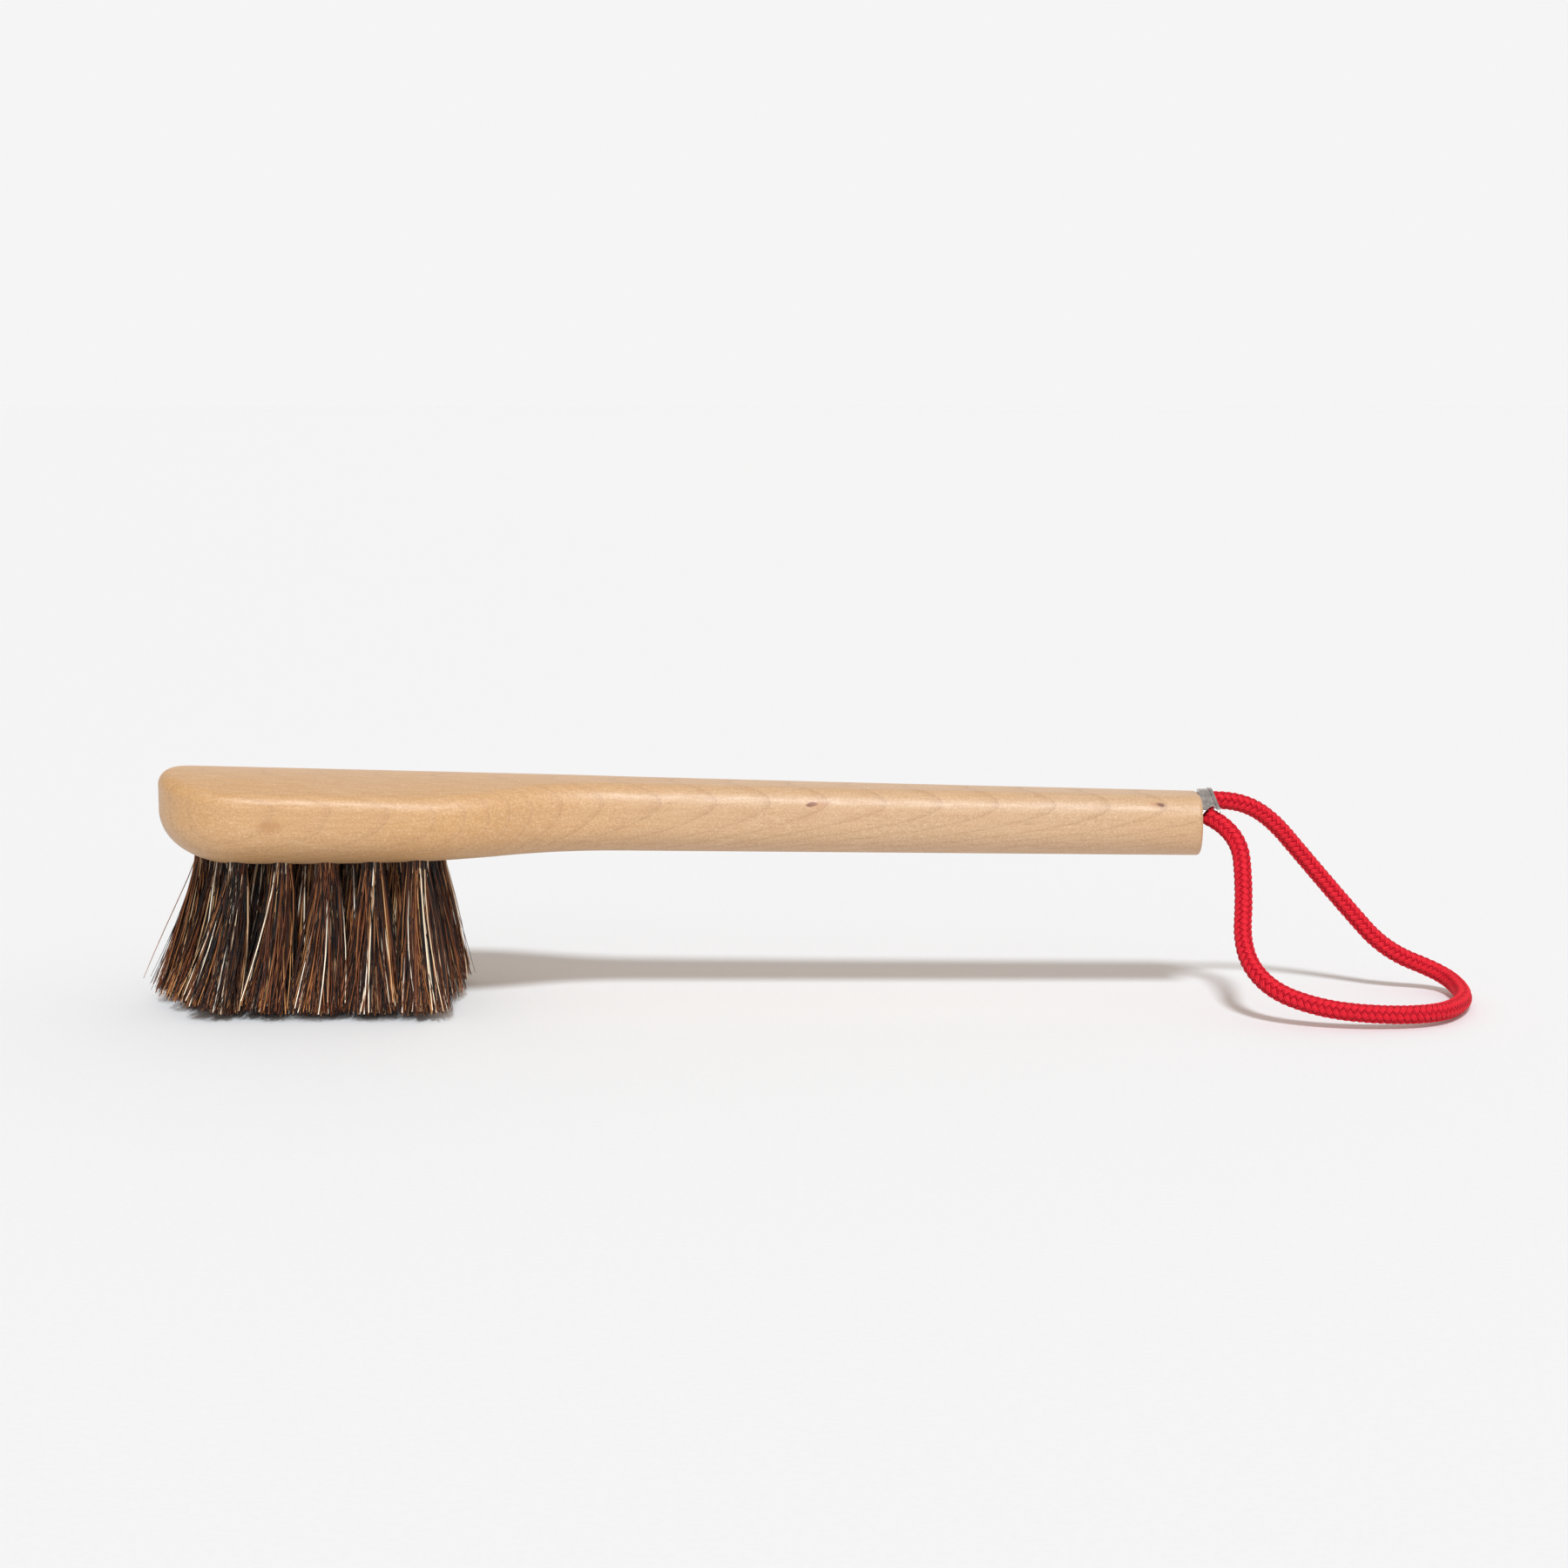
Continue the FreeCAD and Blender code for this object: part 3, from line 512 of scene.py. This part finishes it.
# %% Lacquered wood finish
HONEY_FROM_X, HONEY_FULL_X = 0.03, -0.06
STRAW = (0.555, 0.345, 0.190, 1.0)
HONEY = (0.565, 0.300, 0.108, 1.0)
LATE_WOOD = (0.37, 0.19, 0.088)
DARK_FIBRE, PALE_FIBRE = (0.36, 0.185, 0.08), (0.86, 0.63, 0.42)
DARK_SPECK, PALE_SPECK = (0.30, 0.15, 0.065), (0.92, 0.70, 0.48)

wood, tree, wood_sockets = new_material("Lacquered wood", Coat_Roughness=0.48, Coat_IOR=1.5)
pattern = add(tree, "ShaderNodeGroup", node_tree=grain).outputs
along_x = add(tree, "ShaderNodeSeparateXYZ", {0: object_place(tree)}).outputs["X"]
to_head = add(tree, "ShaderNodeMapRange", {
    "Value": along_x, "From Min": HONEY_FROM_X, "From Max": HONEY_FULL_X},
    interpolation_type="SMOOTHSTEP").outputs[0]


def towards(base, mask, strength, colour):
    """Moves the colour towards another one, as far as the mask and the strength say."""
    return between(tree, sum_of(tree, "MULTIPLY", mask, strength, clamp=True), base, (*colour, 1.0))


honey = sum_of(tree, "ADD", sum_of(tree, "MULTIPLY", to_head, 0.62),
               sum_of(tree, "MULTIPLY_ADD", pattern["Cloud"], 1.5, -0.62), clamp=True)
base = between(tree, honey, STRAW, HONEY)
base = towards(base, pattern["Rings"], sum_of(tree, "MULTIPLY_ADD", to_head, -0.20, 0.55), LATE_WOOD)
base = towards(base, sum_of(tree, "SUBTRACT", pattern["Fibres"], 0.5), 0.6, DARK_FIBRE)
base = towards(base, sum_of(tree, "SUBTRACT", 0.5, pattern["Fibres"]), 0.6, PALE_FIBRE)
base = towards(base, sum_of(tree, "SUBTRACT", pattern["Speckle"], 0.5), 0.9, DARK_SPECK)
base = towards(base, sum_of(tree, "SUBTRACT", 0.5, pattern["Speckle"]), 1.1, PALE_SPECK)
base = towards(base, pattern["Pores"], 0.30, DARK_SPECK)
MARKS = [
    # centre in metres, half size in millimetres, lean, softness, strength, colour
    ((-0.0880, -0.0215, 0.0423), (3.9, 6.0, 2.0), 0.10, 0.8, 0.75, (0.44, 0.215, 0.075)),
    ((0.0283, -0.0098, 0.0454), (1.6, 3.0, 0.60), 0.15, 0.45, 1.0, (0.12, 0.030, 0.010)),
    ((0.0296, -0.0098, 0.0456), (3.6, 3.0, 1.4), 0.15, 0.9, 0.50, (0.44, 0.17, 0.06)),
    ((0.1047, -0.0090, 0.0451), (1.6, 3.0, 0.62), -0.2, 0.45, 1.0, (0.12, 0.030, 0.010)),
    ((0.1035, -0.0090, 0.0453), (3.0, 3.0, 1.1), -0.2, 0.9, 0.50, (0.46, 0.17, 0.06)),
    ((-0.0333, -0.0190, 0.0420), (0.32, 4.0, 0.34), 0.0, 0.5, 1.0, (0.16, 0.06, 0.025)),
]
for centre, half, lean, softness, strength, colour in MARKS:
    mask = add(tree, "ShaderNodeGroup", {
        "Centre": centre, "Half size": [v * MM for v in half], "Lean": lean, "Softness": softness},
        node_tree=mark).outputs["Mask"]
    base = towards(base, mask, strength, colour)
tree.links.new(base, wood_sockets["Base Color"])
tree.links.new(add(tree, "ShaderNodeMapRange", {
    "Value": pattern["Fibres"], "From Min": 0.3, "From Max": 0.7, "To Min": 0.44, "To Max": 0.60}).outputs[0],
    wood_sockets["Roughness"])
tree.links.new(add(tree, "ShaderNodeMapRange", {
    "Value": pattern["Cloud"], "From Min": 0.3, "From Max": 0.7, "To Min": 0.52, "To Max": 0.70}).outputs[0],
    wood_sockets["Coat Weight"])
relief = sum_of(tree, "SUBTRACT", sum_of(tree, "MULTIPLY", pattern["Fibres"], 0.5), pattern["Pores"])
tree.links.new(add(tree, "ShaderNodeBump", {"Strength": 0.25, "Distance": 0.05 * MM, "Height": relief}
                   ).outputs[0], wood_sockets["Normal"])
finish("wooden_block", wood)
print("wood finished with", len(MARKS), "marks")

# %% [markdown]
# ## The tufts
#
# Horsehair is pulled into each hole as a folded bundle, so a tuft leaves its hole tight and
# round and then fans out until it meets its neighbours. Nobody draws ten thousand hairs by hand:
# Geometry Nodes plant them. Every tuft starts as one point with two facts, where its root is
# and where its tip has leaned to. The point is copied once for each hair, each copy picks a
# place in the bundle, and a short straight curve on every copy is bent from its place in the
# root to a place near it in the wider tip. Random lengths, bows and strays make it
# natural, and the seed is fixed, so that the brush comes out the same each time.
# A hair gets a three-sided section, because it is only a quarter of a millimetre thick.

# %% Tuft places
ROOT_HEIGHT = 39.0 * MM        # where the hairs start, up inside their holes
COLLAR_HEIGHT = 32.4 * MM      # where they leave the wood
FIRST_ROOT_X, ROOT_STEP_X, ROOT_ROW = -106.5 * MM, 9.8 * MM, 7.0 * MM
FIRST_TIP_X, TIP_STEP_X, TIP_ROW = -113.0 * MM, 11.4 * MM, 10.2 * MM
ROWS = [(-2, 1.0, 5), (-1, 0.5, 5), (0, 0.0, 6), (1, 0.5, 5), (2, 1.0, 5)]   # row, first column, tufts
print("tufts:", sum(count for row, column, count in ROWS))

# %% Hair planting tree
PACKING = 0.68             # how much of its place in the root bundle a hair keeps at the tip
DRIFT = 0.75               # how far it wanders from there, as a share of the tip's half size
FARTHEST = 1.15            # no tip goes further out than this share of the tip's half size
JITTER = 0.9 * MM
LOCK_SCALE, LOCK_PULL = 420.0, 5.0 * MM
FLARE = 1.4                # above one, a hair leaves its hole straight and flares near its tip
BOW_SHIFT = 1.15           # a bow is widest at half of this share of the free length
SWING_RADIUS = 0.045       # in metres; smaller makes the tip of a leaning hair end higher
TIP_TAPER = 0.45

plant, given, result = new_tree(
    "Plant tufts", "GeometryNodeTree",
    [("Tufts", "NodeSocketGeometry", None), ("Hairs", "NodeSocketInt", 600),
     ("Root radius", "NodeSocketFloat", 2.3 * MM), ("Tip half length", "NodeSocketFloat", 5.6 * MM),
     ("Tip half width", "NodeSocketFloat", 5.2 * MM), ("Root height", "NodeSocketFloat", ROOT_HEIGHT),
     ("Collar height", "NodeSocketFloat", COLLAR_HEIGHT), ("Hair radius", "NodeSocketFloat", 0.12 * MM),
     ("Bow", "NodeSocketFloat", 1.7 * MM), ("Uneven", "NodeSocketFloat", 2.4 * MM),
     ("Points", "NodeSocketInt", 7), ("Seed", "NodeSocketInt", 4), ("Finish", "NodeSocketMaterial", None)],
    [("Hair", "NodeSocketGeometry", None)])


def chance(salt, low=0.0, high=1.0):
    """A random number for each hair."""
    return add(plant, "FunctionNodeRandomValue", {2: low, 3: high, "Seed": sum_of(
        plant, "ADD", given["Seed"], float(salt))}, data_type="FLOAT").outputs[1]


def chance_vector(salt, reach):
    """A random level vector for each hair, up to this reach each way."""
    return add(plant, "FunctionNodeRandomValue", {
        0: (-reach, -reach, 0.0), 1: (reach, reach, 0.0),
        "Seed": sum_of(plant, "ADD", given["Seed"], float(salt))}, data_type="FLOAT_VECTOR").outputs[0]


def keep(geometry, name, kind, value):
    """Stores a value on the hairs under a name."""
    return add(plant, "GeometryNodeStoreNamedAttribute", {"Geometry": geometry, "Name": name, "Value": value},
               data_type=kind, domain="POINT").outputs[0]


def stored(name, kind="FLOAT"):
    """Reads a value back."""
    return add(plant, "GeometryNodeInputNamedAttribute", {"Name": name}, data_type=kind).outputs["Attribute"]


points = add(plant, "GeometryNodeMeshToPoints", {"Mesh": given["Tufts"]}).outputs[0]
hairs = add(plant, "GeometryNodeDuplicateElements", {"Geometry": points, "Amount": given["Hairs"]},
            domain="POINT").outputs["Geometry"]
ring = sum_of(plant, "SQRT", chance(1))
turn = sum_of(plant, "MULTIPLY", chance(2), 2.0 * math.pi)
disc_x = sum_of(plant, "MULTIPLY", ring, sum_of(plant, "COSINE", turn))
disc_y = sum_of(plant, "MULTIPLY", ring, sum_of(plant, "SINE", turn))
in_bundle = add(plant, "ShaderNodeCombineXYZ", {"X": disc_x, "Y": disc_y}).outputs[0]
hairs = keep(hairs, "disc", "FLOAT_VECTOR", in_bundle)
tone = chance(3)
hairs = keep(hairs, "tone", "FLOAT", tone)

disc = stored("disc", "FLOAT_VECTOR")
centre = add(plant, "GeometryNodeInputPosition").outputs[0]
root = vector_of(plant, "ADD", centre, vector_of(plant, "SCALE", disc, given["Root radius"]))
hairs = keep(hairs, "root", "FLOAT_VECTOR", root)
# A hair seldom ends just where it began in the bundle: each one drifts across it on its way.
drift = chance_vector(9, DRIFT)
stray = sum_of(plant, "MULTIPLY_ADD", sum_of(plant, "POWER", chance(4), 12.0), 0.18, 0.90)
spread = add(plant, "ShaderNodeCombineXYZ", {
    "X": given["Tip half length"], "Y": given["Tip half width"]}).outputs[0]
end_place = vector_of(plant, "ADD", vector_of(plant, "SCALE", disc, PACKING), drift)
distance_out = vector_of(plant, "LENGTH", end_place)
reined = sum_of(plant, "MINIMUM", 1.0, sum_of(plant, "DIVIDE", FARTHEST, distance_out))
end_place = vector_of(plant, "SCALE", end_place, reined)
fan = vector_of(plant, "SCALE", vector_of(plant, "MULTIPLY", end_place, spread), stray)
jitter = chance_vector(5, JITTER)
tip = vector_of(plant, "ADD", vector_of(plant, "ADD", centre, stored("lean", "FLOAT_VECTOR")),
                vector_of(plant, "ADD", fan, jitter))
# Neighbouring hairs cling: a coarse noise pulls their tips together into locks.
lock = add(plant, "ShaderNodeTexNoise", {
    "Vector": tip, "Scale": LOCK_SCALE, "Detail": 1.0}).outputs["Color"]
lock = vector_of(plant, "SUBTRACT", lock, (0.5, 0.5, 0.5))
tip = vector_of(plant, "ADD", tip, vector_of(plant, "MULTIPLY", lock, (LOCK_PULL, LOCK_PULL, 0.0)))
hairs = keep(hairs, "tip", "FLOAT_VECTOR", tip)
bow = chance_vector(6, 1.0)
hairs = keep(hairs, "bow", "FLOAT_VECTOR", vector_of(plant, "SCALE", bow, given["Bow"]))
short = sum_of(plant, "MULTIPLY", sum_of(plant, "POWER", chance(7), 1.8), given["Uneven"])
hairs = keep(hairs, "short", "FLOAT", short)
# Pale hairs are the coarse ones.
thick = sum_of(plant, "MULTIPLY_ADD", sum_of(plant, "POWER", tone, 6.0), 0.75, chance(8, 0.75, 1.15))
hairs = keep(hairs, "thick", "FLOAT", thick)

stalk = add(plant, "GeometryNodeCurvePrimitiveLine", {
    "Start": (0.0, 0.0, 0.0), "End": (0.0, 0.0, -1.0 * MM)}).outputs[0]
stalk = add(plant, "GeometryNodeResampleCurve", {"Curve": stalk, "Count": given["Points"]}).outputs[0]
grown = add(plant, "GeometryNodeInstanceOnPoints", {"Points": hairs, "Instance": stalk}).outputs[0]
grown = add(plant, "GeometryNodeRealizeInstances", {"Geometry": grown}).outputs[0]

down = add(plant, "GeometryNodeSplineParameter").outputs["Factor"]
free_from = sum_of(plant, "DIVIDE", sum_of(plant, "SUBTRACT", given["Root height"], given["Collar height"]),
                   given["Root height"])
free = add(plant, "ShaderNodeMapRange", {"Value": down, "From Min": free_from, "From Max": 1.0}).outputs[0]
fanned = sum_of(plant, "POWER", free, FLARE)
travel = vector_of(plant, "SUBTRACT", stored("tip", "FLOAT_VECTOR"), stored("root", "FLOAT_VECTOR"))
level_travel = vector_of(plant, "MULTIPLY", travel, (1.0, 1.0, 0.0))
lateral = vector_of(plant, "SCALE", level_travel, fanned)
bulge = sum_of(plant, "MULTIPLY", free, sum_of(plant, "SUBTRACT", BOW_SHIFT, free))
lateral = vector_of(plant, "ADD", lateral, vector_of(plant, "SCALE", stored("bow", "FLOAT_VECTOR"),
                                                     sum_of(plant, "MULTIPLY", bulge, 3.0)))
# A hair that leans keeps its length, so its tip ends higher than that of an upright one.
lift = sum_of(plant, "MULTIPLY", vector_of(plant, "DOT_PRODUCT", level_travel, travel),
              1.0 / SWING_RADIUS)
drop = sum_of(plant, "SUBTRACT", sum_of(plant, "SUBTRACT", given["Root height"], stored("short")), lift)
fallen = sum_of(plant, "MULTIPLY", sum_of(plant, "MULTIPLY", drop, down), -1.0)
fall = add(plant, "ShaderNodeCombineXYZ", {"Z": fallen}).outputs[0]
place = vector_of(plant, "ADD", vector_of(plant, "ADD", stored("root", "FLOAT_VECTOR"), lateral), fall)
grown = keep(grown, "along", "FLOAT", down)
grown = add(plant, "GeometryNodeSetPosition", {"Geometry": grown, "Position": place}).outputs[0]

section = add(plant, "GeometryNodeCurvePrimitiveCircle", {
    "Resolution": 3, "Radius": given["Hair radius"]}).outputs[0]
worn = sum_of(plant, "MULTIPLY_ADD", sum_of(plant, "POWER", stored("along"), 3.0), -TIP_TAPER, 1.0)
taper = sum_of(plant, "MULTIPLY", worn, stored("thick"))
hair_mesh = add(plant, "GeometryNodeCurveToMesh", {
    "Curve": grown, "Profile Curve": section, "Scale": taper, "Fill Caps": True}).outputs["Mesh"]
hair_mesh = add(plant, "GeometryNodeSetShadeSmooth", {"Geometry": hair_mesh, "Shade Smooth": True}).outputs[0]
hair_mesh = add(plant, "GeometryNodeRealizeInstances", {"Geometry": hair_mesh}).outputs[0]
hair_mesh = add(plant, "GeometryNodeSetMaterial", {
    "Geometry": hair_mesh, "Material": given["Finish"]}).outputs[0]
plant.links.new(hair_mesh, result.inputs["Hair"])
print("planting tree has", len(plant.nodes), "nodes")

# %% [markdown]
# The bristle is a natural mixture. Half of the hairs are black or black-brown, a third are
# chestnut, some are tan, and one in twenty or so is nearly white, which is what makes the brush
# sparkle. The tone that each hair was given picks its colour, and the colour is made lighter
# towards the tip of each hair.

# %% Horsehair finish
hair, tree, hair_sockets = new_material("Mixed horsehair", Specular_IOR_Level=0.45)
tone = attribute(tree, "tone")
tipward = attribute(tree, "along")
hair_colour = ramp(tree, tone,
                   (0.0, (0.005, 0.003, 0.003)), (0.34, (0.010, 0.005, 0.004)), (0.52, (0.050, 0.013, 0.006)),
                   (0.68, (0.130, 0.032, 0.010)), (0.82, (0.24, 0.072, 0.020)), (0.91, (0.46, 0.19, 0.060)),
                   (0.950, (0.62, 0.35, 0.15)), (0.968, (0.93, 0.75, 0.53)), (1.0, (0.96, 0.88, 0.76)))
streak = add(tree, "ShaderNodeTexNoise", {
    "Vector": vector_of(tree, "MULTIPLY", object_place(tree), (1.0, 1.0, 0.15)),
    "Scale": 900.0, "Detail": 2.0}).outputs[0]
lighter = sum_of(tree, "MULTIPLY_ADD", sum_of(tree, "POWER", tipward, 2.0), 0.7,
                 sum_of(tree, "MULTIPLY_ADD", streak, 0.85, 0.38))
tree.links.new(vector_of(tree, "SCALE", hair_colour, lighter), hair_sockets["Base Color"])
tree.links.new(add(tree, "ShaderNodeMapRange", {
    "Value": streak, "From Min": 0.3, "From Max": 0.7, "To Min": 0.30, "To Max": 0.50}).outputs[0],
    hair_sockets["Roughness"])
print("horsehair ready")

# %% Plant the tufts
FIRST_SEED, SEED_STEP = 4, 11
first = 1
for order, (row, column, count) in enumerate(ROWS):
    roots, leans = [], []
    for i in range(count):
        root_x = FIRST_ROOT_X + (column + i) * ROOT_STEP_X
        tip_x = FIRST_TIP_X + (column + i) * TIP_STEP_X
        roots.append((root_x, row * ROOT_ROW, ROOT_HEIGHT))
        leans.append((tip_x - root_x, row * (TIP_ROW - ROOT_ROW), 0.0))
    seeds = bpy.data.meshes.new("row")
    seeds.from_pydata(roots, [], [])
    lean_data = seeds.attributes.new("lean", "FLOAT_VECTOR", "POINT")
    for i, lean in enumerate(leans):
        lean_data.data[i].vector = lean
    row_object = bpy.data.objects.new(f"hair_row_{order + 1}", seeds)
    bpy.context.scene.collection.objects.link(row_object)
    planted = run_tree(row_object, plant, {"Finish": hair, "Seed": SEED_STEP * order + FIRST_SEED})
    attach(planted, "root")
    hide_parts(*[f"tuft_{n:02d}" for n in range(first, first + count)])
    low = min(v.co.z for v in planted.data.vertices)
    print("row", row, "lowest point, millimetres:", round(low * 1000, 2))
    first += count

# %% [markdown]
# ## Table and light
#
# The brush stands on a plain white table that reaches as far as the camera can see, and the
# surroundings are the same white, so no edge shows between them. One soft lamp high in front
# throws the short soft shadow behind the brush, a faint wide one low in front lights the long
# side of the wood, and the surroundings fill in the rest. They are brighter behind the brush,
# where the lacquer on its back mirrors them, and a little darker on the left.

# %% Table
bpy.ops.mesh.primitive_plane_add(size=60.0, location=(0.0, 0.0, 0.0))
table = bpy.context.object
table.name = "table"
paper, tree, paper_sockets = new_material("White table", Roughness=0.8, Specular_IOR_Level=0.15)
speckle = add(tree, "ShaderNodeTexNoise", {
    "Vector": object_place(tree), "Scale": 900.0, "Detail": 2.0}).outputs[0]
tree.links.new(ramp(tree, speckle, (0.3, (0.815, 0.815, 0.818)), (0.7, (0.83, 0.83, 0.833))),
               paper_sockets["Base Color"])
table.data.materials.append(paper)
print("table laid")

# %% Lamps and surroundings
def distant_lamp(name, energy, colour, spread_degrees, towards_direction):
    """A far-off lamp; a wider spread gives a softer shadow."""
    data = bpy.data.lights.new(name, "SUN")
    data.energy = energy
    data.color = colour
    data.angle = math.radians(spread_degrees)
    made = bpy.data.objects.new(name, data)
    made.location = [-v for v in towards_direction]
    made.rotation_euler = Vector(towards_direction).to_track_quat("-Z", "Y").to_euler()
    bpy.context.scene.collection.objects.link(made)


KEY_TOWARDS = (0.0, 0.85, -1.0)
distant_lamp("Soft lamp", 2.4, (0.929, 1.010, 1.078), 9.0, KEY_TOWARDS)
distant_lamp("Front card", 0.60, (1.0, 1.0, 1.0), 70.0, (0.0, 1.0, -0.1))

SEEN_WHITE = (0.913, 0.913, 0.913, 1.0)
FILL_COLOUR = (0.488, 0.444, 0.409, 1.0)
BRIGHTER_BEHIND, BRIGHTER_TO_RIGHT = 1.3, 0.42
world = bpy.data.worlds.new("White surroundings")
bpy.context.scene.world = world
world.use_nodes = True
tree = world.node_tree
tree.nodes.clear()
seen = add(tree, "ShaderNodeBackground", {"Color": SEEN_WHITE, "Strength": 1.0})
sky_direction = add(tree, "ShaderNodeTexCoord").outputs["Generated"]
direction = add(tree, "ShaderNodeSeparateXYZ", {0: sky_direction}).outputs
glow = sum_of(tree, "POWER", sum_of(tree, "MAXIMUM", direction["Y"], 0.0), 3.0)
strength = sum_of(tree, "MULTIPLY_ADD", glow, BRIGHTER_BEHIND,
                  sum_of(tree, "MULTIPLY_ADD", direction["X"], BRIGHTER_TO_RIGHT, 1.0))
fill = add(tree, "ShaderNodeBackground", {"Color": FILL_COLOUR, "Strength": strength})
by_camera = add(tree, "ShaderNodeLightPath").outputs["Is Camera Ray"]
both = add(tree, "ShaderNodeMixShader", {0: by_camera, 1: fill.outputs[0], 2: seen.outputs[0]})
add(tree, "ShaderNodeOutputWorld", {"Surface": both.outputs[0]})
bpy.context.scene.view_settings.view_transform = "Standard"
lean = math.degrees(math.atan2(KEY_TOWARDS[1], -KEY_TOWARDS[2]))
print("lamp leans from upright, degrees:", round(lean, 1))
